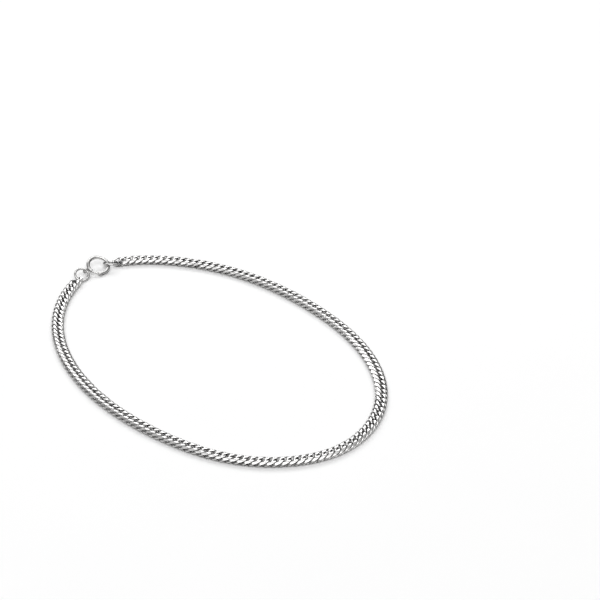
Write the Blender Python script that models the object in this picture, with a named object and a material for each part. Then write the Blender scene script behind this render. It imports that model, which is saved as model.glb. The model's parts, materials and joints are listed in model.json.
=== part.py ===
"""Chain anklet, closed and lying flat: a double curb chain, two jump rings and a spring ring clasp.

Standalone Blender 4.5 script, in metres, +Z up. The origin lies on the surface that the anklet
rests on, under the middle of its outline, and +X runs along its longest extent.
"""

import math

import bmesh
import bpy
import numpy as np
from mathutils import Matrix, Vector

# Chain. The anklet's length is the whole loop's, along its middle, clasp included.
ANKLET_LENGTH = 0.240
CHAIN_WIDTH = 0.00275
CHAIN_THICKNESS = 0.00114
CHAIN_PITCH = 0.00163
CHAIN_WIRE = 0.00050

# One link seen from above. Its ends reach this many pitches from its middle, and its wire bends
# at a shoulder and at the flank, placed as shares of that reach and of the flank's own distance.
LINK_REACH_IN_PITCHES = 1.30
SHOULDER_ALONG = 0.82
SHOULDER_ACROSS = 0.40
FLANK_ALONG = 0.247
LINK_WIRE_SIDES = 5

# The route of the chain: the corners that a smooth closed curve rounds off, anticlockwise from
# the clasp, as shares of the loop's half length and half width.
ROUTE_CORNERS = (
    (1.08, 0.48),
    (0.70, 0.93),
    (0.24, 1.04),
    (-0.21, 0.92),
    (-0.62, 0.62),
    (-0.95, 0.21),
    (-1.06, -0.45),
    (-0.74, -0.94),
    (-0.26, -1.04),
    (0.18, -0.88),
    (0.59, -0.59),
    (0.90, -0.16),
)
ROUTE_WIDTH_SHARE = 0.758
ROUTE_STEPS_PER_CORNER = 60
CLASP_PAST_FIRST_CORNER = 0.00065

# Jump rings: outer diameter and wire.
RING_DIAMETER = 0.0038
RING_WIRE = 0.00046
RING_STEPS = 14
RING_WIRE_SIDES = 6

# How each jump ring lies: its flat side faces a compass direction (anticlockwise from +X) and is
# tipped from straight up. Slack is how far it slid towards the clasp from being pulled tight, and
# how far its link slid towards it. Aside is its shift off the chain's line, towards the inside.
CATCH_RING_LEAN = (math.radians(-22.9), math.radians(23.5))
CATCH_RING_SLACK = (0.00013, 0.00037)
CATCH_RING_ASIDE = 0.00024
END_RING_LEAN = (math.radians(-168.7), math.radians(27.1))
END_RING_SLACK = (0.00030, 0.00033)
END_RING_ASIDE = -0.00030

# Spring ring clasp: a round tube with a soldered ear, a gap, and a bolt that closes the gap.
CLASP_DIAMETER = 0.0057
CLASP_TUBE = 0.00072
CLASP_BORE = 0.00050
CLASP_LEAN = (math.radians(195), math.radians(20))
CLASP_GAP = math.radians(40)
CLASP_GAP_FROM_EAR = math.radians(38)
TUBE_SIDES = 8
ARC_STEP = math.radians(12)
EAR_DIAMETER = 0.0017
EAR_WIRE = 0.00036
EAR_STEPS = 10
SOLDER_OVERLAP = 0.00012

BOLT_WIRE = 0.00038
BOLT_TIP = math.radians(9)
BOLT_TAIL = math.radians(20)
BOLT_OPENING = math.radians(42)
KNOB_STEM = 0.00020
KNOB_DIAMETER = 0.00038
KNOB_LENGTH = 0.00026
KNOB_FROM_GAP = math.radians(12)
SLOT_CLEARANCE = 0.00006

# Clearances: between two rings or links that hold each other, and above the resting surface.
HOLD_CLEARANCE = 0.00008
FLOOR_CLEARANCE = 0.00001

STEEL_COLOUR = (0.80, 0.80, 0.79, 1.0)
STEEL_ROUGHNESS = 0.12


def clear_scene():
    for obj in list(bpy.data.objects):
        bpy.data.objects.remove(obj)


def steel(name):
    material = bpy.data.materials.new(name)
    material.use_nodes = True
    shader = material.node_tree.nodes["Principled BSDF"]
    shader.inputs["Base Color"].default_value = STEEL_COLOUR
    shader.inputs["Metallic"].default_value = 1.0
    shader.inputs["Roughness"].default_value = STEEL_ROUGHNESS
    return material


def add_object(bm, name, origin=None):
    """A smooth shaded object of the finished mesh, with its origin and axes where origin says."""
    bmesh.ops.recalc_face_normals(bm, faces=bm.faces)
    matrix = origin or Matrix.Identity(4)
    mesh = bpy.data.meshes.new(name)
    bm.to_mesh(mesh)
    bm.free()
    mesh.transform(matrix.inverted())
    mesh.shade_smooth()
    mesh.set_sharp_from_angle(angle=math.radians(35))
    mesh.materials.append(steel(name))
    obj = bpy.data.objects.new(name, mesh)
    obj.matrix_world = matrix
    bpy.context.scene.collection.objects.link(obj)
    return obj


class Route:
    """The loop's middle line, scaled to the anklet's length and read by the distance from the clasp."""

    def __init__(self):
        corners = np.array(ROUTE_CORNERS) * (1.0, ROUTE_WIDTH_SHARE)
        before, after, beyond = (np.roll(corners, turn, axis=0) for turn in (1, -1, -2))
        t = np.linspace(0.0, 1.0, ROUTE_STEPS_PER_CORNER, endpoint=False)[None, :, None]
        weights = ((1 - t) ** 3, 3 * t**3 - 6 * t**2 + 4, -3 * t**3 + 3 * t**2 + 3 * t + 1, t**3)
        spans = (before, corners, after, beyond)
        points = sum(w * span[:, None, :] for w, span in zip(weights, spans)).reshape(-1, 2)
        points = np.vstack([points, points[:1]])
        running = np.concatenate([[0.0], np.cumsum(np.hypot(*np.diff(points, axis=0).T))])
        scale = ANKLET_LENGTH / running[-1]
        self.points = points * scale
        self.running = running * scale

    def point(self, along):
        along = (along + CLASP_PAST_FIRST_CORNER) % ANKLET_LENGTH
        return Vector([np.interp(along, self.running, axis) for axis in self.points.T] + [0.0])

    def heading(self, along):
        """The direction of travel, taken across one pitch."""
        return (self.point(along + CHAIN_PITCH / 2) - self.point(along - CHAIN_PITCH / 2)).normalized()

    def frame(self, along, height):
        forward = self.heading(along)
        up = Vector((0.0, 0.0, 1.0))
        axes = Matrix((forward, up.cross(forward), up)).transposed().to_4x4()
        return Matrix.Translation(self.point(along) + up * height) @ axes


def link_reach():
    return LINK_REACH_IN_PITCHES * CHAIN_PITCH


def link_corners():
    """The link's centre line as (point, roll): a ten-sided loop that runs low, high, low and high
    again, so that each link passes through the next two. Roll turns a flat of the wire to the
    outer face that each stretch lies in.
    """
    reach = link_reach()
    flank = (CHAIN_WIDTH - CHAIN_WIRE) / 2
    flat_turn = math.pi / LINK_WIRE_SIDES
    rise = CHAIN_THICKNESS / 2 - CHAIN_WIRE / 2 * math.cos(flat_turn)
    shoulder = (SHOULDER_ALONG * reach, SHOULDER_ACROSS * flank)
    bend = (FLANK_ALONG * reach, flank)
    half = [
        (Vector((reach, 0.0, 0.0)), flat_turn / 2),
        (Vector((*shoulder, -rise)), 0.0),
        (Vector((*bend, -rise)), 0.0),
        (Vector((-bend[0], bend[1], rise)), flat_turn),
        (Vector((-shoulder[0], shoulder[1], rise)), flat_turn),
    ]
    return half + [(Vector((-point.x, -point.y, point.z)), roll) for point, roll in half]


def link_sections():
    """The wire's rings of points around the link's corners, in the link's own frame."""
    corners = link_corners()
    up = Vector((0.0, 0.0, 1.0))
    sections = []
    for index, (point, roll) in enumerate(corners):
        arriving = (point - corners[index - 1][0]).to_2d().normalized()
        leaving = (corners[(index + 1) % len(corners)][0] - point).to_2d().normalized()
        inward = up.cross((arriving + leaving).normalized().to_3d())
        turns = [math.pi / 2 + roll + math.tau * side / LINK_WIRE_SIDES for side in range(LINK_WIRE_SIDES)]
        sections.append([point + (inward * math.cos(a) + up * math.sin(a)) * CHAIN_WIRE / 2 for a in turns])
    return sections


def add_link(bm, sections, matrix):
    """One closed link. It returns the link's points, section by section."""
    grid = [[bm.verts.new(matrix @ point) for point in section] for section in sections]
    for index, section in enumerate(grid):
        following = grid[(index + 1) % len(grid)]
        for side in range(LINK_WIRE_SIDES):
            beside = (side + 1) % LINK_WIRE_SIDES
            bm.faces.new((section[side], following[side], following[beside], section[beside]))
    return grid


def fuse_links(bm, link, following):
    """Joins the facing sides of two neighbours' lower bars, where the wires all but touch.

    The neck takes half of each side, so that it stays clear of the neighbour's rising flank.
    """
    near = [link[section][side] for section, side in ((1, 1), (1, 2), (2, 2), (2, 1))]
    far = [following[section][side] for section, side in ((1, 4), (1, 3), (2, 3), (2, 4))]
    for side in (near, far):
        bm.faces.remove(bm.faces.get(side))
        bm.faces.new((side[2], side[3], side[0]))
    for index in range(3):
        before = (index - 1) % 3
        bm.faces.new((near[before], near[index], far[index], far[before]))


def add_chain(route, name, stations):
    bm = bmesh.new()
    sections = link_sections()
    links = [add_link(bm, sections, route.frame(along, CHAIN_THICKNESS / 2)) for along in stations]
    for link, following in zip(links, links[1:]):
        fuse_links(bm, link, following)
    return add_object(bm, name)


def sweep(bm, matrix, stations, sides, closed):
    """A round tube around matrix's Z axis through (angle, centre radius, tube radius) stations."""
    rings = []
    for angle, radius, tube in stations:
        outward = Vector((math.cos(angle), math.sin(angle), 0.0))
        up = Vector((0.0, 0.0, tube))
        turns = [math.tau * (side + 0.5) / sides for side in range(sides)]
        rings.append(
            [bm.verts.new(matrix @ (outward * (radius + tube * math.cos(a)) + up * math.sin(a))) for a in turns]
        )
    pairs = zip(rings, rings[1:] + rings[:1]) if closed else zip(rings, rings[1:])
    for ring, following in pairs:
        for side in range(sides):
            beside = (side + 1) % sides
            bm.faces.new((ring[side], following[side], following[beside], ring[beside]))
    if not closed:
        bm.faces.new(rings[0])
        bm.faces.new(rings[-1])


def arc(start, end, radius, tube):
    """Stations from start to end, no more than ARC_STEP apart."""
    steps = max(1, math.ceil(abs(end - start) / ARC_STEP - 1e-6))
    return [(start + (end - start) * step / steps, radius, tube) for step in range(steps + 1)]


def leaning_frame(centre, lean, towards):
    """A ring's frame: Z leans by (compass, tip), and X lies in the ring, pointing towards."""
    compass, tip = lean
    normal = Vector((math.sin(tip) * math.cos(compass), math.sin(tip) * math.sin(compass), math.cos(tip)))
    along = (towards - normal * towards.dot(normal)).normalized()
    axes = Matrix((along, normal.cross(along), normal)).transposed().to_4x4()
    return Matrix.Translation(centre) @ axes


def resting_height(radius, wire, tip):
    return radius * math.sin(tip) + wire / 2 + FLOOR_CLEARANCE


def add_jump_ring(name, centre, lean, towards):
    bm = bmesh.new()
    radius = (RING_DIAMETER - RING_WIRE) / 2
    frame = leaning_frame(centre, lean, towards)
    turns = [math.tau * step / RING_STEPS for step in range(RING_STEPS)]
    sweep(bm, frame, [(a, radius, RING_WIRE / 2) for a in turns], RING_WIRE_SIDES, closed=True)
    return add_object(bm, name, frame)


def clasp_radius():
    """The radius of the middle of the clasp's tube, which the bolt slides along."""
    return (CLASP_DIAMETER - CLASP_TUBE) / 2


def ear_radius():
    return (EAR_DIAMETER - EAR_WIRE) / 2


def ear_distance():
    return CLASP_DIAMETER / 2 + EAR_DIAMETER / 2 - SOLDER_OVERLAP


def gap_ends():
    """The angles, from the ear, at which the bolt's tip enters the tube and its tail leaves it."""
    return CLASP_GAP_FROM_EAR - CLASP_GAP / 2, CLASP_GAP_FROM_EAR + CLASP_GAP / 2


def knob_angle():
    return gap_ends()[1] + KNOB_FROM_GAP


def knob_base():
    return CLASP_DIAMETER / 2 + SLOT_CLEARANCE


def slide_margin():
    return SLOT_CLEARANCE / clasp_radius()


def add_helper(bm, name, frame):
    helper = add_object(bm, name, frame)
    helper.hide_render = True
    helper.display_type = "WIRE"
    return helper


def combine(obj, helper, operation):
    modifier = obj.modifiers.new(f"{operation.lower()} {helper.name}", "BOOLEAN")
    modifier.operation = operation
    modifier.solver = "EXACT"
    modifier.object = helper


def add_clasp_ring(frame):
    """The tube, bored from both ends of its gap, with the ear soldered on and the knob's slot cut."""
    tip_mouth, tail_mouth = gap_ends()
    radius, bore, tube = clasp_radius(), CLASP_BORE / 2, CLASP_TUBE / 2
    tail_bottom = tail_mouth + BOLT_TAIL + BOLT_OPENING + slide_margin()
    tip_bottom = math.tau + tip_mouth - BOLT_TIP - slide_margin()
    bm = bmesh.new()
    stations = arc(tail_bottom, tail_mouth, radius, bore)
    stations += arc(tail_mouth, math.tau + tip_mouth, radius, tube)
    stations += arc(math.tau + tip_mouth, tip_bottom, radius, bore)
    sweep(bm, frame, stations, TUBE_SIDES, closed=False)
    ring = add_object(bm, "clasp_ring", frame)

    bm = bmesh.new()
    ear_frame = frame @ Matrix.Translation((ear_distance(), 0.0, 0.0)) @ Matrix.Rotation(math.pi / 2, 4, "X")
    turns = [math.tau * (step + 0.5) / EAR_STEPS for step in range(EAR_STEPS)]
    sweep(bm, ear_frame, [(a, ear_radius(), EAR_WIRE / 2) for a in turns], RING_WIRE_SIDES, closed=True)
    combine(ring, add_helper(bm, "ear_solder", ear_frame), "UNION")

    bm = bmesh.new()
    half_slot = KNOB_STEM / 2 + SLOT_CLEARANCE
    half_angle = half_slot / radius
    slot = arc(
        knob_angle() - half_angle,
        knob_angle() + BOLT_OPENING + half_angle,
        radius + (bore + tube) / 2,
        half_slot * math.sqrt(2),
    )
    sweep(bm, frame, slot, 4, closed=False)
    combine(ring, add_helper(bm, "knob_slot", frame), "DIFFERENCE")
    return ring


def add_clasp_bolt(frame):
    """The bolt across the gap, with the knob that a thumb pulls it back by. Its origin is its axis."""
    tip_mouth, tail_mouth = gap_ends()
    bm = bmesh.new()
    bolt_arc = arc(tip_mouth - BOLT_TIP, tail_mouth + BOLT_TAIL, clasp_radius(), BOLT_WIRE / 2)
    sweep(bm, frame, bolt_arc, RING_WIRE_SIDES, closed=False)
    bolt = add_object(bm, "clasp_bolt", frame)

    profile = (
        (clasp_radius(), KNOB_STEM / 2),
        (knob_base(), KNOB_STEM / 2),
        (knob_base(), KNOB_DIAMETER / 2),
        (knob_base() + KNOB_LENGTH, KNOB_DIAMETER / 2),
    )
    bm = bmesh.new()
    add_turned(bm, frame @ Matrix.Rotation(knob_angle(), 4, "Z"), profile, TUBE_SIDES)
    combine(bolt, add_helper(bm, "thumb_knob", frame), "UNION")
    return bolt


def add_turned(bm, frame, profile, sides):
    """A closed round shape around frame's X axis, from (distance, radius) rows."""
    rings = []
    for distance, radius in profile:
        turns = [math.tau * (side + 0.5) / sides for side in range(sides)]
        rings.append(
            [bm.verts.new(frame @ Vector((distance, radius * math.cos(a), radius * math.sin(a)))) for a in turns]
        )
    for ring, following in zip(rings, rings[1:]):
        for side in range(sides):
            beside = (side + 1) % sides
            bm.faces.new((ring[side], following[side], following[beside], ring[beside]))
    bm.faces.new(rings[0])
    bm.faces.new(rings[-1])


def hold_distance(wire, other_wire):
    """Between the middles of two wires that hold each other."""
    return (wire + other_wire) / 2 + HOLD_CLEARANCE


def resting_clasp_frame(route):
    """The clasp's frame, with the lowest of its tube, its upright ear and its knob on the surface."""
    frame = leaning_frame(route.point(0.0), CLASP_LEAN, route.heading(0.0))
    ear_rise = (frame @ Vector((ear_distance(), 0.0, 0.0))).z
    ear_rest = EAR_DIAMETER / 2 + FLOOR_CLEARANCE - ear_rise
    tube_rest = resting_height(clasp_radius(), CLASP_TUBE, CLASP_LEAN[1])
    knob_rest = resting_height(knob_base() + KNOB_LENGTH, KNOB_DIAMETER, CLASP_LEAN[1])
    return Matrix.Translation((0.0, 0.0, max(tube_rest, ear_rest, knob_rest))) @ frame


def build():
    route = Route()
    up = Vector((0.0, 0.0, 1.0))
    ring_radius = (RING_DIAMETER - RING_WIRE) / 2
    link_hold = link_reach() - hold_distance(RING_WIRE, CHAIN_WIRE)

    def ring_at(name, lean, slack, aside, holder_reach, turn):
        """A jump ring that hangs on the clasp, and how far from the clasp the link it holds lies."""
        along = holder_reach + ring_radius - slack[0]
        heading = route.heading(turn * along)
        centre = route.point(turn * along) + up.cross(heading) * aside
        centre.z = resting_height(ring_radius, RING_WIRE, lean[1])
        add_jump_ring(name, centre, lean, heading)
        return along + ring_radius + link_hold - slack[1]

    clasp_frame = resting_clasp_frame(route)
    add_clasp_ring(clasp_frame)
    add_clasp_bolt(clasp_frame)

    ear_reach = ear_distance() + ear_radius() - hold_distance(EAR_WIRE, RING_WIRE)
    first = ring_at("end_ring", END_RING_LEAN, END_RING_SLACK, END_RING_ASIDE, ear_reach, 1)
    catch_reach = clasp_radius() - hold_distance(CLASP_TUBE, RING_WIRE)
    catch = ring_at("catch_ring", CATCH_RING_LEAN, CATCH_RING_SLACK, CATCH_RING_ASIDE, catch_reach, -1)
    last = ANKLET_LENGTH - catch

    count = round((last - first) / CHAIN_PITCH) + 1
    stations = np.linspace(first, last, count)
    add_chain(route, "chain_half_1", stations[: count // 2])
    add_chain(route, "chain_half_2", stations[count // 2 :])


def centre_on_origin():
    """Moves the whole anklet so that the middle of its outline is over the origin."""
    corners = [
        obj.matrix_world @ vertex.co
        for obj in bpy.context.scene.objects
        if not obj.hide_render
        for vertex in obj.data.vertices
    ]
    middle = [(min(c[axis] for c in corners) + max(c[axis] for c in corners)) / 2 for axis in range(2)]
    lowest = min(corner.z for corner in corners)
    for obj in bpy.context.scene.objects:
        obj.matrix_world = Matrix.Translation((-middle[0], -middle[1], -lowest)) @ obj.matrix_world


clear_scene()
build()
bpy.context.view_layer.update()
centre_on_origin()
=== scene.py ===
"""The looks of a chain anklet: polished links, jump rings and a spring ring clasp on a pale stage.

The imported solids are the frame. Each group of pieces has an operator, and the sizes and finishes
that a user would change are properties of the scene.
"""

import json
import math

import bmesh
import bpy
import numpy as np
from mathutils import Matrix, Vector


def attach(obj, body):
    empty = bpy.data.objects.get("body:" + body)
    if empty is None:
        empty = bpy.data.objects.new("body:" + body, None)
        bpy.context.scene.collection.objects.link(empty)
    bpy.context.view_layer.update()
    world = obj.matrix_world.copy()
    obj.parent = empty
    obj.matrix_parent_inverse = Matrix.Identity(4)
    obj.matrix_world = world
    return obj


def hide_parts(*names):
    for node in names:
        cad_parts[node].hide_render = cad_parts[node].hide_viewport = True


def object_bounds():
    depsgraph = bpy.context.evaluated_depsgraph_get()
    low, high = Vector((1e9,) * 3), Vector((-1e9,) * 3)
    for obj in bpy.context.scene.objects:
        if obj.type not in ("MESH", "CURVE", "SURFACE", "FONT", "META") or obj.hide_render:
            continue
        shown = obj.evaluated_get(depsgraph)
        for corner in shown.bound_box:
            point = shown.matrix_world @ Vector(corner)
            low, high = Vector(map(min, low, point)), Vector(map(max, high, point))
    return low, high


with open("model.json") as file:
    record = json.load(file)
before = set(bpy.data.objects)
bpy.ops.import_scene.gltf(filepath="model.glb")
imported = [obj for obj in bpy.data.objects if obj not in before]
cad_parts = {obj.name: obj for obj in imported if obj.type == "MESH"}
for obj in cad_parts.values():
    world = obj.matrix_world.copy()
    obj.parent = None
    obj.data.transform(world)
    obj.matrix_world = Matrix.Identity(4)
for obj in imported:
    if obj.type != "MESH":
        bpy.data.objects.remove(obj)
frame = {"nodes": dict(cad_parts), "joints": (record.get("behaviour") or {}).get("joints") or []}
cad_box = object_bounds()

bl_info = {
    "name": "Chain Anklet",
    "version": (1, 0, 0),
    "blender": (4, 5, 0),
    "location": "3D View > Sidebar > Anklet",
    "description": "Makes a double curb chain anklet with jump rings and a spring ring clasp",
    "category": "Add Mesh",
}

UP = Vector((0.0, 0.0, 1.0))

# The route of the chain: the corners that a smooth closed curve rounds off, anticlockwise from
# the clasp, as shares of the loop's half length and half width.
ROUTE_CORNERS = (
    (1.08, 0.48),
    (0.70, 0.93),
    (0.24, 1.04),
    (-0.21, 0.92),
    (-0.62, 0.62),
    (-0.95, 0.21),
    (-1.06, -0.45),
    (-0.74, -0.94),
    (-0.26, -1.04),
    (0.18, -0.88),
    (0.59, -0.59),
    (0.90, -0.16),
)
ROUTE_WIDTH_SHARE = 0.758
ROUTE_STEPS_PER_CORNER = 60
CLASP_PAST_FIRST_CORNER = 0.00065

# One link's middle line as shares of the chain's width: waves once and three times round the
# link in length and in breadth, and two, four and six times in height.
LINK_LENGTH_WAVES = (0.759, -0.011)
LINK_BREADTH_WAVES = (0.366, -0.048)
LINK_HEIGHT_WAVES = (0.187, -0.045, 0.012)

# Where the ground faces start to slope down to the chain's edges, as a share of half its width,
# and how steeply.
BEVEL_STARTS = 0.55
BEVEL_SLOPE = 0.62

# Painted shade between the links: how far below the ground face it starts and where it is full,
# as shares of half the thickness, where the chain's outer flank starts, as a share of half its
# width, and how much of the painted shade that flank is spared.
SHADE_STARTS = 0.48
SHADE_FULL = 0.76
FLANK_STARTS = 0.60
FLANK_UNSHADED = 0.95

# A link's nod and turn as shares of its unevenness in roll.
NOD_SHARE = 0.5
TURN_SHARE = 0.6

# Where each jump ring's ends meet, as an angle round it.
RING_SEAMS = {"end_ring": math.radians(60), "catch_ring": math.radians(200)}

# How finely the clasp's round shapes are divided.
LIP_STEPS = 8
TUBE_STEP = math.radians(3)
TUBE_SIDES = 28
EAR_STEPS = 64
EAR_SIDES = 20
SOLDER_STEPS = 12
SOLDER_SIDES = 24
SLOT_SIDES = 16
BOLT_SIDES = 24
KNOB_SIDES = 20
KNOB_STEPS = 8

# The solder's height and breadth as shares of the ear's wire, and how round its outline is.
SOLDER_HEIGHT = 0.9
SOLDER_BREADTH = 1.05
SOLDER_ROUNDNESS = 0.8

# The slot's breadth as a share of what the stem and its play need.
SLOT_BREADTH = 1.1

# The knob's soft lower edge and its crown as shares of its radius.
KNOB_EDGE = 0.25
KNOB_CROWN = 0.8

# Angles just short of a pole, which leave a small flat for the closing fan.
NEAR_POLE = 0.15
KNOB_EDGE_FROM = 0.3
CROWN_TO = math.pi / 2 * 0.96
SOLDER_FROM_TO = (-0.5, math.pi / 2 * 0.95)

# How many waves of each pattern lie in a metre.
# The first of these breaks the painted shade between the links into patches.
SHADE_PATCHES_PER_METRE = 900.0
GRINDING_PER_METRE = 16000.0
RIPPLES_PER_METRE = 1500.0
WIRE_POLISH_PER_METRE = 1200.0
WIRE_CLOUDS_PER_METRE = 400.0
HAIRLINES_PER_METRE = 9000.0
FLOOR_CLOUDS_PER_METRE = 30.0

# Depths of the grinding marks and hairlines, and shades of the clouds on wire and floor.
GRINDING_DEPTH = 0.000004
HAIRLINE_DEPTH = 0.000002
WIRE_CLOUD_SHADE = 0.90
FLOOR_CLOUD_SHADE = 0.985

# The floor's middle lies this far under the anklet, and it reaches this far each way.
FLOOR_DROP = 0.00002
FLOOR_REACH = 4.0
FLOOR_CELLS = 8

# The softboxes: turned this far from the camera's heading, this high, size and power.
SOFTBOX_DISTANCE = 1.2
SOFTBOXES = (
    ("back_softbox", math.radians(8), math.radians(37), (1.5, 0.46), 8.0),
    ("top_softbox", math.pi, math.radians(66), (1.3, 0.95), 5.8),
)

# Grey of the sky at rising heights, from the horizon at 0 to overhead at 1.
SKY_STOPS = ((0.0, 0.20), (0.05, 0.04), (0.38, 0.05), (0.54, 0.37), (0.80, 0.60), (1.0, 0.94))


class ChainSizes(bpy.types.PropertyGroup):
    """Sizes of the curb chain."""

    anklet_length: bpy.props.FloatProperty(
        name="Anklet length", description="Length of the closed loop, clasp included",
        default=0.240, unit="LENGTH",
    )
    width: bpy.props.FloatProperty(
        name="Chain width", description="Across the links, seen from above",
        default=0.00285, unit="LENGTH",
    )
    thickness: bpy.props.FloatProperty(
        name="Chain thickness", description="Between the two ground faces",
        default=0.00130, unit="LENGTH",
    )
    wire_share: bpy.props.FloatProperty(
        name="Wire", description="Thickness of a link's wire as a share of the chain's width",
        default=0.217,
    )
    first_link: bpy.props.FloatProperty(
        name="First link", description="Way along the loop from the clasp to the first link",
        default=0.008029, unit="LENGTH",
    )
    last_link: bpy.props.FloatProperty(
        name="Last link", description="Way along the loop from the clasp to the last link",
        default=0.233781, unit="LENGTH",
    )
    links: bpy.props.IntProperty(
        name="Links", description="Number of links in the whole chain", default=139
    )
    links_in_first_half: bpy.props.IntProperty(
        name="Links in first half", description="Links of the half that starts at the clasp's ear",
        default=69,
    )
    unevenness: bpy.props.FloatProperty(
        name="Unevenness", description="How far a link typically rolls from level",
        default=math.radians(1.1), subtype="ANGLE",
    )
    steps: bpy.props.IntProperty(
        name="Steps round a link", description="Rings of points along a link", default=48
    )
    sides: bpy.props.IntProperty(
        name="Sides of a link", description="Points around a link's wire", default=20
    )


class RingSizes(bpy.types.PropertyGroup):
    """Sizes of the jump rings."""

    wire: bpy.props.FloatProperty(
        name="Ring wire", description="Thickness of the rings' wire", default=0.00054, unit="LENGTH"
    )
    diameter: bpy.props.FloatProperty(
        name="Ring diameter", description="Outer diameter", default=0.00388, unit="LENGTH"
    )
    seam_depth: bpy.props.FloatProperty(
        name="Seam depth", description="Depth of the groove where the wire's ends meet",
        default=0.00005, unit="LENGTH",
    )
    steps: bpy.props.IntProperty(
        name="Steps", description="Rings of points around a jump ring", default=120
    )
    sides: bpy.props.IntProperty(name="Sides", description="Points around the wire", default=24)


class ClaspSizes(bpy.types.PropertyGroup):
    """Sizes of the spring ring clasp."""

    diameter: bpy.props.FloatProperty(
        name="Clasp diameter", description="Outer diameter of the tube's ring",
        default=0.00582, unit="LENGTH",
    )
    tube: bpy.props.FloatProperty(
        name="Tube", description="Thickness of the tube", default=0.00084, unit="LENGTH"
    )
    bore: bpy.props.FloatProperty(
        name="Bore", description="Inner diameter of the tube", default=0.00054, unit="LENGTH"
    )
    gap: bpy.props.FloatProperty(
        name="Gap", description="Opening that the bolt closes",
        default=math.radians(40), subtype="ANGLE",
    )
    gap_from_ear: bpy.props.FloatProperty(
        name="Gap from ear", description="From the ear to the middle of the gap",
        default=math.radians(38), subtype="ANGLE",
    )
    ear_diameter: bpy.props.FloatProperty(
        name="Ear diameter", description="Outer diameter of the ear", default=0.00176, unit="LENGTH"
    )
    ear_wire: bpy.props.FloatProperty(
        name="Ear wire", description="Thickness of the ear's wire", default=0.00042, unit="LENGTH"
    )
    solder_overlap: bpy.props.FloatProperty(
        name="Solder overlap", description="How far the ear sits in the tube",
        default=0.00021, unit="LENGTH",
    )
    bolt_wire: bpy.props.FloatProperty(
        name="Bolt", description="Thickness of the bolt", default=0.00042, unit="LENGTH"
    )
    bolt_tip: bpy.props.FloatProperty(
        name="Bolt tip", description="How far the bolt's tip enters the tube",
        default=math.radians(9), subtype="ANGLE",
    )
    bolt_tail: bpy.props.FloatProperty(
        name="Bolt tail", description="How far the bolt's tail stays in the tube",
        default=math.radians(20), subtype="ANGLE",
    )
    bolt_opening: bpy.props.FloatProperty(
        name="Bolt travel", description="How far the bolt slides back",
        default=math.radians(42), subtype="ANGLE",
    )
    knob_from_gap: bpy.props.FloatProperty(
        name="Knob", description="From the gap's end to the thumb knob",
        default=math.radians(12), subtype="ANGLE",
    )
    knob_stem: bpy.props.FloatProperty(
        name="Knob stem", description="Thickness of the knob's stem", default=0.00020, unit="LENGTH"
    )
    knob_diameter: bpy.props.FloatProperty(
        name="Knob diameter", description="Thickness of the knob's head",
        default=0.00038, unit="LENGTH",
    )
    knob_length: bpy.props.FloatProperty(
        name="Knob length", description="Length of the knob's head", default=0.00024, unit="LENGTH"
    )
    slot_clearance: bpy.props.FloatProperty(
        name="Slot clearance", description="Play around the knob's stem",
        default=0.00006, unit="LENGTH",
    )


class SteelLook(bpy.types.PropertyGroup):
    """The finish of the polished steel, and the shade painted between the links and along the wires'
    outlines.
    """

    colour: bpy.props.FloatVectorProperty(
        name="Steel", description="Colour of the polished faces",
        default=(0.62, 0.615, 0.61), subtype="COLOR",
    )
    # Painted shade at the outline: a dark tint on what the round wire mirrors at grazing angles, which
    # draws dark outlines.
    outline_shade_tint: bpy.props.FloatVectorProperty(
        name="Edge tint", description="Tint of what round wire mirrors near its outline",
        default=(0.15, 0.15, 0.15), subtype="COLOR",
    )
    wire_colour: bpy.props.FloatVectorProperty(
        name="Wire", description="Colour of the rings' and the clasp's steel",
        default=(0.62, 0.615, 0.61), subtype="COLOR",
    )
    # Painted shade: the near-black colour painted deep between the links, where shade falls.
    recess_shade_colour: bpy.props.FloatVectorProperty(
        name="Recess", description="Colour deep between the links, where polish doesn't reach",
        default=(0.03, 0.03, 0.032), subtype="COLOR",
    )
    shine: bpy.props.FloatProperty(
        name="Roughness", description="Roughness of the polished faces", default=0.08
    )
    ground_roughness: bpy.props.FloatProperty(
        name="Ground roughness", description="Added roughness of the links' ground faces",
        default=0.16,
    )
    recess_roughness: bpy.props.FloatProperty(
        name="Recess roughness", description="Roughness between the links", default=0.42
    )


class StageLook(bpy.types.PropertyGroup):
    """The pale stage, its lights and the camera."""

    floor_colour: bpy.props.FloatVectorProperty(
        name="Floor", description="Colour of the floor",
        default=(0.965, 0.965, 0.965), subtype="COLOR",
    )
    camera_height: bpy.props.FloatProperty(
        name="Camera height", description="Above the floor", default=0.38405, unit="LENGTH"
    )
    camera_x: bpy.props.FloatProperty(
        name="Camera X", description="Camera's place along X", default=-0.48170, unit="LENGTH"
    )
    camera_y: bpy.props.FloatProperty(
        name="Camera Y", description="Camera's place along Y", default=0.15784, unit="LENGTH"
    )
    camera_heading: bpy.props.FloatProperty(
        name="Camera heading", description="Direction of view, anticlockwise from +X",
        default=math.radians(-20.39), subtype="ANGLE",
    )
    camera_pitch: bpy.props.FloatProperty(
        name="Camera pitch", description="Below level", default=math.radians(36.0), subtype="ANGLE"
    )
    camera_lens: bpy.props.FloatProperty(
        name="Lens", description="Focal length on a 36 mm sensor", default=162.94
    )


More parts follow.
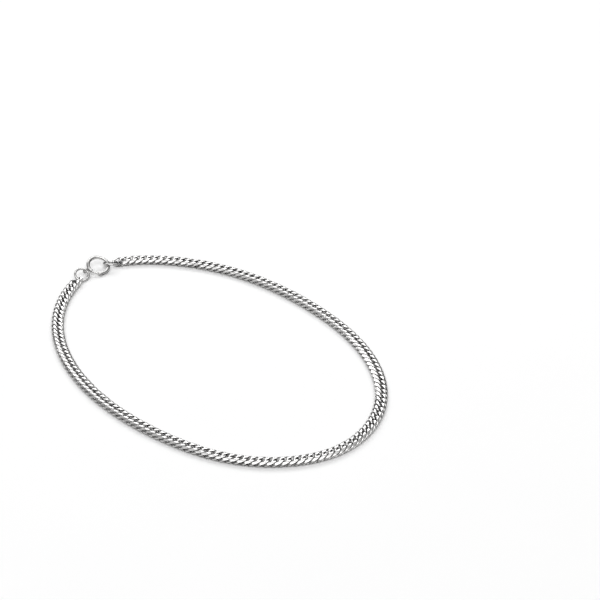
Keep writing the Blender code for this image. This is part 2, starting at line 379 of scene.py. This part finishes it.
class Route:
    """The loop's middle line, read by the distance from the clasp along it."""

    def __init__(self, length, pitch):
        corners = np.array(ROUTE_CORNERS) * (1.0, ROUTE_WIDTH_SHARE)
        before, after, beyond = (np.roll(corners, turn, axis=0) for turn in (1, -1, -2))
        t = np.linspace(0.0, 1.0, ROUTE_STEPS_PER_CORNER, endpoint=False)[None, :, None]
        weights = ((1 - t) ** 3, 3 * t**3 - 6 * t**2 + 4, -3 * t**3 + 3 * t**2 + 3 * t + 1, t**3)
        spans = (before, corners, after, beyond)
        points = sum(w * span[:, None, :] for w, span in zip(weights, spans)).reshape(-1, 2)
        points = np.vstack([points, points[:1]])
        running = np.concatenate([[0.0], np.cumsum(np.hypot(*np.diff(points, axis=0).T))])
        scale = length / running[-1]
        self.length = length
        self.pitch = pitch
        self.running = running * scale
        self.points = points * scale
        self.points += np.array(clasp_joint()["pos_m"][:2]) - np.array(self.point(0.0)[:2])

    def point(self, along):
        along = (along + CLASP_PAST_FIRST_CORNER) % self.length
        return Vector([np.interp(along, self.running, axis) for axis in self.points.T] + [0.0])

    def heading(self, along):
        return (self.point(along + self.pitch / 2) - self.point(along - self.pitch / 2)).normalized()

    def frame(self, along, height):
        forward = self.heading(along)
        axes = Matrix((forward, UP.cross(forward), UP)).transposed().to_4x4()
        return Matrix.Translation(self.point(along) + UP * height) @ axes


def clasp_joint():
    return frame["joints"][0]


def link_pitch(chain):
    return (chain.last_link - chain.first_link) / (chain.links - 1)


def chain_route(chain):
    return Route(chain.anklet_length, link_pitch(chain))


def clasp_frame(chain):
    """The clasp's frame: its middle and axis are the bolt's joint, and X points at the ear."""
    joint = clasp_joint()
    normal = Vector(joint["axis"]).normalized()
    heading = chain_route(chain).heading(0.0)
    along = (heading - normal * heading.dot(normal)).normalized()
    axes = Matrix((along, normal.cross(along), normal)).transposed().to_4x4()
    return Matrix.Translation(Vector(joint["pos_m"])) @ axes


def tube_quads(rings, sides, closed):
    """The quads between rings of points, numbered ring by ring."""
    ring = np.arange(rings if closed else rings - 1)[:, None]
    side = np.arange(sides)[None, :]
    following, beside = (ring + 1) % rings, (side + 1) % sides
    here, ahead = ring * sides, following * sides
    return np.stack([here + side, ahead + side, ahead + beside, here + beside], axis=-1).reshape(-1, 4)


def placed(local, matrix):
    """Rows of points in matrix's frame, brought into the anklet's."""
    frame_rows = np.array(matrix)
    return local.reshape(-1, 3) @ frame_rows[:3, :3].T + frame_rows[:3, 3]


def add_piece(name, points, quads, material, sharp=40.0):
    """A mesh object of points and quads, smooth but for its sharp edges."""
    mesh = bpy.data.meshes.new(name)
    mesh.from_pydata(points.tolist(), [], quads.tolist())
    mesh.update()
    mesh.shade_smooth()
    mesh.set_sharp_from_angle(angle=math.radians(sharp))
    mesh.materials.append(material)
    piece = bpy.data.objects.new(name, mesh)
    bpy.context.scene.collection.objects.link(piece)
    return piece


def link_shell(chain):
    """One link's points, ring by ring, which of them are ground flat, and how much painted shade each
    gets, from 0 to 1: most inside the chain, less on its outer flanks.
    """
    t = np.arange(chain.steps) * math.tau / chain.steps
    line = np.zeros((chain.steps, 3))
    way = np.zeros((chain.steps, 3))
    for order, share in zip((1, 3), LINK_LENGTH_WAVES):
        line[:, 0] += share * np.cos(order * t)
        way[:, 0] -= share * order * np.sin(order * t)
    for order, share in zip((1, 3), LINK_BREADTH_WAVES):
        line[:, 1] += share * np.sin(order * t)
        way[:, 1] += share * order * np.cos(order * t)
    for order, share in zip((2, 4, 6), LINK_HEIGHT_WAVES):
        line[:, 2] -= share * np.sin(order * t)
        way[:, 2] -= share * order * np.cos(order * t)
    way /= np.linalg.norm(way, axis=1)[:, None]
    across = np.cross((0.0, 0.0, 1.0), way)
    across /= np.linalg.norm(across, axis=1)[:, None]
    above = np.cross(way, across)
    turns = (np.arange(chain.sides) * math.tau / chain.sides)[None, :, None]
    spokes = across[:, None] * np.cos(turns) + above[:, None] * np.sin(turns)
    points = (line[:, None] + spokes * chain.wire_share / 2) * chain.width
    half = chain.thickness / 2
    outward = np.abs(points[..., 1]) / np.abs(points[..., 1]).max()
    limit = half - np.clip(outward - BEVEL_STARTS, 0.0, 1.0) * BEVEL_SLOPE * chain.width / 2
    ground = (np.abs(points[..., 2]) >= limit).astype(float)
    points[..., 2] = np.clip(points[..., 2], -limit, limit)
    below = (limit - np.abs(points[..., 2])) / half
    reach = np.clip((outward - FLANK_STARTS) / (1.0 - FLANK_STARTS), 0.0, 1.0)
    depth = np.clip((below - SHADE_STARTS) / (SHADE_FULL - SHADE_STARTS), 0.0, 1.0)
    # Painted shade: darkest deep inside the chain, where shade falls between the links, mostly spared on
    # the outer flanks.
    recess_shade = depth * (1.0 - FLANK_UNSHADED * reach)
    return points.reshape(-1, 3), ground.reshape(-1), recess_shade.reshape(-1)


def add_chain_half(chain, name, node, stations, seed, material):
    """A joined mesh of smooth links at these stations along the route."""
    route = chain_route(chain)
    shell, ground, recess_shade = link_shell(chain)
    quads = tube_quads(chain.steps, chain.sides, closed=True)
    random = np.random.default_rng(seed)
    points, faces, tones = [], [], []
    for index, along in enumerate(stations):
        roll, nod, turn = random.normal(0.0, chain.unevenness, 3)
        nodding = Matrix.Rotation(nod * NOD_SHARE, 4, "Y")
        turning = Matrix.Rotation(turn * TURN_SHARE, 4, "Z")
        tilt = Matrix.Rotation(roll, 4, "X") @ nodding @ turning
        points.append(placed(shell, route.frame(along, chain.thickness / 2) @ tilt))
        faces.append(quads + index * len(shell))
        tones.append(np.full(len(shell), random.random()))
    piece = add_piece(name, np.vstack(points), np.vstack(faces), material, sharp=24.0)
    surface = {
        "ground_face": np.tile(ground, len(stations)),
        "recess_shade": np.tile(recess_shade, len(stations)),
        "link_tone": np.concatenate(tones),
    }
    for title, values in surface.items():
        attribute = piece.data.attributes.new(title, "FLOAT", "POINT")
        attribute.data.foreach_set("value", values.astype(np.float32))
    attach(piece, "anklet")
    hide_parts(node)
    return piece


def ring_frame(node):
    """A jump ring's middle and lean, from its solid."""
    points = np.array([vertex.co for vertex in frame["nodes"][node].data.vertices])
    points = np.unique(np.round(points, 7), axis=0)
    middle = points.mean(axis=0)
    axes = np.linalg.svd(points - middle)[2]
    normal = Vector(axes[2]) * (1 if axes[2][2] > 0 else -1)
    along = (Vector((1.0, 0.0, 0.0)) - normal * normal.x).normalized()
    turned = Matrix((along, normal.cross(along), normal)).transposed().to_4x4()
    return Matrix.Translation(middle) @ turned


def swept_points(matrix, stations, sides):
    """Rings of points around matrix's Z axis through (angle, centre radius, tube radius) stations."""
    angle, radius, tube = (column[:, None] for column in np.array(stations).T)
    turns = np.arange(sides)[None, :] * math.tau / sides
    reach = radius + tube * np.cos(turns)
    height = tube * np.sin(turns) * np.ones_like(angle)
    return placed(np.stack([reach * np.cos(angle), reach * np.sin(angle), height], axis=-1), matrix)


def add_jump_ring(rings, node, seam, material):
    """A round wire ring, with a fine groove at seam where its ends meet."""
    radius = (rings.diameter - rings.wire) / 2
    angles = np.arange(rings.steps) * math.tau / rings.steps
    from_seam = np.abs((angles - seam + math.pi) % math.tau - math.pi) * radius
    groove = rings.seam_depth * np.exp(-((from_seam / rings.seam_depth) ** 2) / 2)
    stations = np.stack([angles, np.full_like(angles, radius), rings.wire / 2 - groove], axis=1)
    points = swept_points(ring_frame(node), stations, rings.sides)
    quads = tube_quads(rings.steps, rings.sides, closed=True)
    piece = add_piece(node + "_polished", points, quads, material)
    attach(piece, "anklet")
    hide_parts(node)
    return piece


class MakeChain(bpy.types.Operator):
    """Makes the two halves of the chain from smooth links with ground faces."""

    bl_idname = "anklet.make_chain"
    bl_label = "Make chain"

    def execute(self, context):
        chain = context.scene.anklet_chain
        material = link_steel(context.scene.anklet_steel)
        stations = np.linspace(chain.first_link, chain.last_link, chain.links)
        halves = (stations[: chain.links_in_first_half], stations[chain.links_in_first_half :])
        for number, half in enumerate(halves, start=1):
            add_chain_half(chain, f"curb_links_{number}", f"chain_half_{number}", half, number, material)
        return {"FINISHED"}


class MakeJumpRings(bpy.types.Operator):
    """Makes the jump ring on the ear and the one that the clasp catches."""

    bl_idname = "anklet.make_jump_rings"
    bl_label = "Make jump rings"

    def execute(self, context):
        material = wire_steel(context.scene.anklet_steel, "ring_wire_steel")
        for node, seam in RING_SEAMS.items():
            add_jump_ring(context.scene.anklet_rings, node, seam, material)
        return {"FINISHED"}


def gap_ends(clasp):
    """The angles, from the ear, at which the bolt's tip enters the tube and its tail leaves it."""
    return clasp.gap_from_ear - clasp.gap / 2, clasp.gap_from_ear + clasp.gap / 2


def tube_radius(clasp):
    return (clasp.diameter - clasp.tube) / 2


def lip(mouth, turn, clasp):
    """Stations round the lip of a tube's mouth, from the bore out. The tube goes on in turn's way."""
    rounding = (clasp.tube - clasp.bore) / 4
    middle = (clasp.tube + clasp.bore) / 4
    stations = []
    for step in range(LIP_STEPS + 1):
        bend = math.pi * step / LIP_STEPS
        inset = rounding * (1 - math.sin(bend)) / tube_radius(clasp)
        stations.append((mouth + turn * inset, tube_radius(clasp), middle - rounding * math.cos(bend)))
    return stations


def arc_stations(start, end, radius, tube):
    """Even stations of one thickness from one angle to another."""
    steps = max(1, math.ceil(abs(end - start) / TUBE_STEP))
    return [(start + (end - start) * step / steps, radius, tube) for step in range(steps + 1)]


def capped(points, quads, rings, sides):
    """The tube's points and faces with a fan that closes each end."""
    ends = (points[:sides].mean(axis=0), points[-sides:].mean(axis=0))
    middle = len(points)
    faces = [tuple(quad) for quad in quads]
    last = (rings - 1) * sides
    for side in range(sides):
        beside = (side + 1) % sides
        faces.append((middle, side, beside))
        faces.append((middle + 1, last + beside, last + side))
    return np.vstack([points, ends]), faces


def add_faces_piece(name, points, faces, material=None, sharp=35.0):
    """A closed mesh object of points and faces, with its normals turned out."""
    bm = bmesh.new()
    corners = [bm.verts.new(point) for point in points]
    for face in faces:
        bm.faces.new([corners[index] for index in face])
    bmesh.ops.recalc_face_normals(bm, faces=bm.faces)
    mesh = bpy.data.meshes.new(name)
    bm.to_mesh(mesh)
    bm.free()
    mesh.shade_smooth()
    mesh.set_sharp_from_angle(angle=math.radians(sharp))
    if material:
        mesh.materials.append(material)
    piece = bpy.data.objects.new(name, mesh)
    bpy.context.scene.collection.objects.link(piece)
    return piece


def swept_tube(name, matrix, stations, sides, closed, material=None):
    """A round tube through stations around matrix's Z axis, closed on itself or with capped ends."""
    points = swept_points(matrix, stations, sides)
    quads = tube_quads(len(stations), sides, closed)
    if closed:
        return add_faces_piece(name, points, [tuple(quad) for quad in quads], material)
    return add_faces_piece(name, *capped(points, quads, len(stations), sides), material)


def turned_piece(name, matrix, profile, sides, material=None):
    """A round shape around matrix's X axis, from (distance, radius) rows."""
    distance, radius = (column[:, None] for column in np.array(profile).T)
    turns = np.arange(sides)[None, :] * math.tau / sides
    along = distance * np.ones_like(turns)
    points = placed(np.stack([along, radius * np.cos(turns), radius * np.sin(turns)], axis=-1), matrix)
    quads = tube_quads(len(profile), sides, closed=False)
    return add_faces_piece(name, *capped(points, quads, len(profile), sides), material)


def combine(piece, other, operation):
    """Joins the other shape to the piece, or cuts it away, and removes it."""
    modifier = piece.modifiers.new(operation.lower(), "BOOLEAN")
    modifier.operation = operation
    modifier.solver = "EXACT"
    modifier.object = other
    graph = bpy.context.evaluated_depsgraph_get()
    graph.update()
    finished = bpy.data.meshes.new_from_object(piece.evaluated_get(graph))
    piece.modifiers.clear()
    if not finished.polygons:
        raise RuntimeError(f"{piece.name}: the {operation.lower()} left nothing")
    piece.data = finished
    bpy.data.objects.remove(other)


def finish_shading(piece, sharp=30.0):
    piece.data.shade_smooth()
    piece.data.set_sharp_from_angle(angle=math.radians(sharp))


def dome(base, length, radius):
    """Profile rows of a rounded head from its base, with a softened lower edge."""
    edge = radius * KNOB_EDGE
    crown = radius * KNOB_CROWN
    rows = [(base, radius - edge)]
    for bend in np.linspace(KNOB_EDGE_FROM, math.pi / 2, KNOB_STEPS // 2):
        rows.append((base + edge * (1 - math.cos(bend)), radius - edge * (1 - math.sin(bend))))
    for bend in np.linspace(0.0, CROWN_TO, KNOB_STEPS):
        rows.append((base + length - crown + crown * math.sin(bend), radius * math.cos(bend)))
    return rows


def add_clasp_body(clasp, matrix, material):
    """The clasp's bored and slotted tube, with its ear soldered on."""
    tip_mouth, tail_mouth = gap_ends(clasp)
    radius = tube_radius(clasp)
    margin = clasp.slot_clearance / radius
    tail_bottom = tail_mouth + clasp.bolt_tail + clasp.bolt_opening + margin
    tip_bottom = math.tau + tip_mouth - clasp.bolt_tip - margin
    near_lip, far_lip = lip(tail_mouth, 1, clasp), lip(math.tau + tip_mouth, -1, clasp)
    stations = arc_stations(tail_bottom, near_lip[0][0], radius, clasp.bore / 2)[:-1] + near_lip
    stations += arc_stations(near_lip[-1][0], far_lip[-1][0], radius, clasp.tube / 2)[1:-1]
    stations += far_lip[::-1] + arc_stations(far_lip[0][0], tip_bottom, radius, clasp.bore / 2)[1:]
    body = swept_tube("clasp_tube", matrix, stations, TUBE_SIDES, False, material)

    ear_distance = clasp.diameter / 2 + clasp.ear_diameter / 2 - clasp.solder_overlap
    ear_radius = (clasp.ear_diameter - clasp.ear_wire) / 2
    upright = Matrix.Rotation(math.pi / 2, 4, "X")
    ear_matrix = matrix @ Matrix.Translation((ear_distance, 0.0, 0.0)) @ upright
    turns = np.arange(EAR_STEPS) * math.tau / EAR_STEPS
    ear_stations = [(turn, ear_radius, clasp.ear_wire / 2) for turn in turns]
    ear = swept_tube("ear", ear_matrix, ear_stations, EAR_SIDES, True)
    combine(body, ear, "UNION")

    # The solder that fills the corner between the ear and the tube.
    root = clasp.diameter / 2 - clasp.solder_overlap
    height, breadth = clasp.ear_wire * SOLDER_HEIGHT, clasp.ear_wire * SOLDER_BREADTH
    solder = [
        (root + height * math.sin(bend), breadth * math.cos(bend) ** SOLDER_ROUNDNESS)
        for bend in np.linspace(*SOLDER_FROM_TO, SOLDER_STEPS)
    ]
    combine(body, turned_piece("solder", matrix, solder, SOLDER_SIDES), "UNION")

    knob_angle = tail_mouth + clasp.knob_from_gap
    half_slot = clasp.knob_stem / 2 + clasp.slot_clearance
    half_angle = half_slot / radius
    ends = (knob_angle - half_angle, knob_angle + clasp.bolt_opening + half_angle)
    depth = radius + (clasp.bore + clasp.tube) / 4
    slot_stations = arc_stations(*ends, depth, half_slot * SLOT_BREADTH)
    slot = swept_tube("slot", matrix, slot_stations, SLOT_SIDES, False)
    combine(body, slot, "DIFFERENCE")
    finish_shading(body)
    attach(body, "anklet")
    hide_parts("clasp_ring")
    return body


def add_bolt(clasp, matrix, material):
    """The curved bolt with its rounded tip, and the thumb knob on its stem."""
    tip_mouth, tail_mouth = gap_ends(clasp)
    radius, half = tube_radius(clasp), clasp.bolt_wire / 2
    tip, tail = tip_mouth - clasp.bolt_tip, tail_mouth + clasp.bolt_tail
    stations = [
        (tip + half * (1 - math.cos(bend)) / radius, radius, half * math.sin(bend))
        for bend in np.linspace(NEAR_POLE, math.pi / 2, LIP_STEPS)
    ]
    stations += arc_stations(stations[-1][0], tail, radius, half)[1:]
    bolt = swept_tube("clasp_bolt_polished", matrix, stations, BOLT_SIDES, False, material)
    knob_base = clasp.diameter / 2 + clasp.slot_clearance
    stem = [(radius, clasp.knob_stem / 2), (knob_base, clasp.knob_stem / 2)]
    profile = stem + dome(knob_base, clasp.knob_length, clasp.knob_diameter / 2)
    knob_turn = Matrix.Rotation(tail_mouth + clasp.knob_from_gap, 4, "Z")
    knob = turned_piece("knob", matrix @ knob_turn, profile, KNOB_SIDES)
    combine(bolt, knob, "UNION")
    finish_shading(bolt)
    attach(bolt, "bolt")
    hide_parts("clasp_bolt")
    return bolt


class MakeClasp(bpy.types.Operator):
    """Makes the clasp's bored tube with its soldered ear, and the bolt with its thumb knob."""

    bl_idname = "anklet.make_clasp"
    bl_label = "Make clasp"

    def execute(self, context):
        clasp, chain = context.scene.anklet_clasp, context.scene.anklet_chain
        matrix = clasp_frame(chain)
        material = wire_steel(context.scene.anklet_steel, "clasp_tube_steel")
        add_clasp_body(clasp, matrix, material)
        add_bolt(clasp, matrix, material)
        return {"FINISHED"}


def new_material(name, steel):
    """A metal material, its shader and its node tree."""
    material = bpy.data.materials.new(name)
    material.use_nodes = True
    tree = material.node_tree
    shader = tree.nodes["Principled BSDF"]
    shader.inputs["Metallic"].default_value = 1.0
    shader.inputs["Base Color"].default_value = (*steel.colour, 1.0)
    return material, tree, shader


def add_node(tree, kind, values=None, **settings):
    node = tree.nodes.new(kind)
    for name, value in (values or {}).items():
        node.inputs[name].default_value = value
    for name, value in settings.items():
        setattr(node, name, value)
    return node


def noise(tree, place, scale, detail=3.0):
    node = add_node(tree, "ShaderNodeTexNoise", {"Scale": scale, "Detail": detail})
    tree.links.new(place, node.inputs["Vector"])
    return node.outputs["Fac"]


def ranged(tree, value, low, high, to_low, to_high):
    """The value moved from one range to another, clamped."""
    span = {"From Min": low, "From Max": high, "To Min": to_low, "To Max": to_high}
    node = add_node(tree, "ShaderNodeMapRange", span)
    tree.links.new(value, node.inputs["Value"])
    return node.outputs["Result"]


def mixed(tree, share, first, second):
    """A colour between two, by share."""
    node = add_node(tree, "ShaderNodeMix", data_type="RGBA")
    tree.links.new(share, node.inputs[0])
    for socket, value in ((node.inputs[6], first), (node.inputs[7], second)):
        if isinstance(value, bpy.types.NodeSocket):
            tree.links.new(value, socket)
        else:
            socket.default_value = (*value, 1.0)
    return node.outputs[2]


def calculated(tree, operation, first, second):
    node = add_node(tree, "ShaderNodeMath", operation=operation)
    for socket, value in zip(node.inputs, (first, second)):
        if isinstance(value, bpy.types.NodeSocket):
            tree.links.new(value, socket)
        else:
            socket.default_value = value
    return node.outputs["Value"]


def raised(tree, shader, height, depth):
    bump = add_node(tree, "ShaderNodeBump", {"Strength": 1.0, "Distance": depth})
    tree.links.new(height, bump.inputs["Height"])
    tree.links.new(bump.outputs["Normal"], shader.inputs["Normal"])


def link_steel(steel):
    """Steel that is bright on the ground faces, with painted shade, near black and rougher, deep between
    the links.
    """
    material, tree, shader = new_material("link_steel", steel)
    place = add_node(tree, "ShaderNodeTexCoord").outputs["Object"]
    recess_shade = add_node(tree, "ShaderNodeAttribute", attribute_name="recess_shade").outputs["Fac"]
    patches = noise(tree, place, SHADE_PATCHES_PER_METRE)
    # Painted shade: the steel's colour is mixed towards near black deep between the links, a little
    # patchy.
    painted_shade = calculated(tree, "MULTIPLY", recess_shade, ranged(tree, patches, 0.3, 0.7, 0.8, 1.0))
    tree.links.new(mixed(tree, painted_shade, steel.colour, steel.recess_shade_colour), shader.inputs["Base Color"])

    tone = add_node(tree, "ShaderNodeAttribute", attribute_name="link_tone").outputs["Fac"]
    shine = calculated(tree, "MULTIPLY", ranged(tree, tone, 0.0, 1.0, 0.7, 1.35), steel.shine)
    ground = add_node(tree, "ShaderNodeAttribute", attribute_name="ground_face").outputs["Fac"]
    satin = ranged(tree, ground, 0.0, 1.0, 0.0, steel.ground_roughness)
    dull = ranged(tree, painted_shade, 0.0, 1.0, 0.0, steel.recess_roughness)
    rough = calculated(tree, "ADD", shine, calculated(tree, "ADD", satin, dull))
    tree.links.new(rough, shader.inputs["Roughness"])

    lines = noise(tree, place, GRINDING_PER_METRE, 2.0)
    ripple = noise(tree, place, RIPPLES_PER_METRE, 1.0)
    grinding = calculated(tree, "MULTIPLY", lines, ranged(tree, ground, 0.0, 1.0, 0.25, 0.6))
    raised(tree, shader, calculated(tree, "ADD", grinding, ripple), GRINDING_DEPTH)
    return material


def wire_steel(steel, name):
    """Polished round steel, with faint hairlines, a slightly uneven polish, and a dark edge tint that
    paints shade along its outline.
    """
    material, tree, shader = new_material(name, steel)
    place = add_node(tree, "ShaderNodeTexCoord").outputs["Object"]
    # Painted shade at the outline: the dark edge tint darkens what the wire mirrors at grazing angles.
    shader.inputs["Specular Tint"].default_value = (*steel.outline_shade_tint, 1.0)
    polish = noise(tree, place, WIRE_POLISH_PER_METRE)
    rough = ranged(tree, polish, 0.3, 0.7, steel.shine * 0.7, steel.shine * 1.7)
    tree.links.new(rough, shader.inputs["Roughness"])
    shade = tuple(channel * WIRE_CLOUD_SHADE for channel in steel.wire_colour)
    cloud = ranged(tree, noise(tree, place, WIRE_CLOUDS_PER_METRE), 0.35, 0.7, 0.0, 1.0)
    tree.links.new(mixed(tree, cloud, steel.wire_colour, shade), shader.inputs["Base Color"])
    raised(tree, shader, noise(tree, place, HAIRLINES_PER_METRE, 2.0), HAIRLINE_DEPTH)
    return material


def pale_floor(look):
    """Matt pale paper, barely clouded."""
    material = bpy.data.materials.new("pale_floor")
    material.use_nodes = True
    tree = material.node_tree
    shader = tree.nodes["Principled BSDF"]
    shader.inputs["Roughness"].default_value = 0.7
    shader.inputs["Specular IOR Level"].default_value = 0.2
    place = add_node(tree, "ShaderNodeTexCoord").outputs["Object"]
    shade = tuple(channel * FLOOR_CLOUD_SHADE for channel in look.floor_colour)
    clouds = noise(tree, place, FLOOR_CLOUDS_PER_METRE)
    tree.links.new(mixed(tree, clouds, look.floor_colour, shade), shader.inputs["Base Color"])
    return material


def add_floor(look):
    bm = bmesh.new()
    bmesh.ops.create_grid(bm, x_segments=FLOOR_CELLS, y_segments=FLOOR_CELLS, size=FLOOR_REACH)
    mesh = bpy.data.meshes.new("floor")
    bm.to_mesh(mesh)
    bm.free()
    mesh.materials.append(pale_floor(look))
    floor = bpy.data.objects.new("floor", mesh)
    floor.location.z = cad_box[0][2] - FLOOR_DROP
    bpy.context.scene.collection.objects.link(floor)


def add_softbox(name, azimuth, elevation, size, power):
    """A rectangular light that points at the anklet."""
    light = bpy.data.lights.new(name, "AREA")
    light.shape = "RECTANGLE"
    light.size, light.size_y = size
    light.energy = power
    lamp = bpy.data.objects.new(name, light)
    level = math.cos(elevation)
    away = Vector((math.cos(azimuth) * level, math.sin(azimuth) * level, math.sin(elevation)))
    lamp.location = away * SOFTBOX_DISTANCE
    lamp.rotation_euler = away.to_track_quat("Z", "Y").to_euler()
    bpy.context.scene.collection.objects.link(lamp)


def add_sky():
    """Soft room light: dark walls low down, and brighter towards a pale ceiling overhead."""
    world = bpy.data.worlds.new("studio")
    world.use_nodes = True
    bpy.context.scene.world = world
    tree = world.node_tree
    background = tree.nodes["Background"]
    way = add_node(tree, "ShaderNodeTexCoord").outputs["Generated"]
    parts = add_node(tree, "ShaderNodeSeparateXYZ")
    tree.links.new(way, parts.inputs["Vector"])
    ramp = add_node(tree, "ShaderNodeValToRGB")
    tree.links.new(parts.outputs["Z"], ramp.inputs["Fac"])
    stops = ramp.color_ramp.elements
    stops.remove(stops[1])
    stops[0].position = SKY_STOPS[0][0]
    for place, _ in SKY_STOPS[1:]:
        stops.new(place)
    for stop, (_, grey) in zip(stops, SKY_STOPS):
        stop.color = (grey, grey, grey, 1.0)
    tree.links.new(ramp.outputs["Color"], background.inputs["Color"])
    background.inputs["Strength"].default_value = 1.0


class MakeStage(bpy.types.Operator):
    """Makes the pale floor, the soft lights and the camera."""

    bl_idname = "anklet.make_stage"
    bl_label = "Make stage"

    def execute(self, context):
        look = context.scene.anklet_stage
        add_floor(look)
        add_sky()
        for name, turned, elevation, size, power in SOFTBOXES:
            add_softbox(name, look.camera_heading + turned, elevation, size, power)
        camera = bpy.data.cameras.new("camera")
        camera.lens = look.camera_lens
        camera.sensor_width = 36.0
        camera.clip_start = 0.01
        eye = bpy.data.objects.new("camera", camera)
        eye.location = (look.camera_x, look.camera_y, look.camera_height)
        eye.rotation_euler = (math.pi / 2 - look.camera_pitch, 0.0, look.camera_heading - math.pi / 2)
        context.scene.collection.objects.link(eye)
        context.scene.camera = eye
        context.scene.view_settings.view_transform = "Standard"
        return {"FINISHED"}


class AnkletPanel(bpy.types.Panel):
    """Lists the anklet's pieces with their sizes."""

    bl_idname = "VIEW3D_PT_anklet"
    bl_label = "Chain anklet"
    bl_space_type = "VIEW_3D"
    bl_region_type = "UI"
    bl_category = "Anklet"

    def draw(self, context):
        for title, name, operator in PANEL_ROWS:
            box = self.layout.box()
            box.label(text=title)
            group = getattr(context.scene, name)
            for key in group.bl_rna.properties.keys():
                if key not in ("rna_type", "name"):
                    box.prop(group, key)
            if operator:
                box.operator(operator)


PANEL_ROWS = (
    ("Chain", "anklet_chain", "anklet.make_chain"),
    ("Jump rings", "anklet_rings", "anklet.make_jump_rings"),
    ("Clasp", "anklet_clasp", "anklet.make_clasp"),
    ("Steel", "anklet_steel", ""),
    ("Stage", "anklet_stage", "anklet.make_stage"),
)
GROUPS = (
    ("anklet_chain", ChainSizes),
    ("anklet_rings", RingSizes),
    ("anklet_clasp", ClaspSizes),
    ("anklet_steel", SteelLook),
    ("anklet_stage", StageLook),
)
CLASSES = (MakeChain, MakeJumpRings, MakeClasp, MakeStage, AnkletPanel)


def register():
    for name, group in GROUPS:
        bpy.utils.register_class(group)
        setattr(bpy.types.Scene, name, bpy.props.PointerProperty(type=group))
    for cls in CLASSES:
        bpy.utils.register_class(cls)


def unregister():
    for cls in reversed(CLASSES):
        bpy.utils.unregister_class(cls)
    for name, group in reversed(GROUPS):
        delattr(bpy.types.Scene, name)
        bpy.utils.unregister_class(group)


def main():
    register()
    bpy.ops.anklet.make_stage()
    bpy.ops.anklet.make_chain()
    bpy.ops.anklet.make_jump_rings()
    bpy.ops.anklet.make_clasp()


if __name__ == "__main__":
    main()
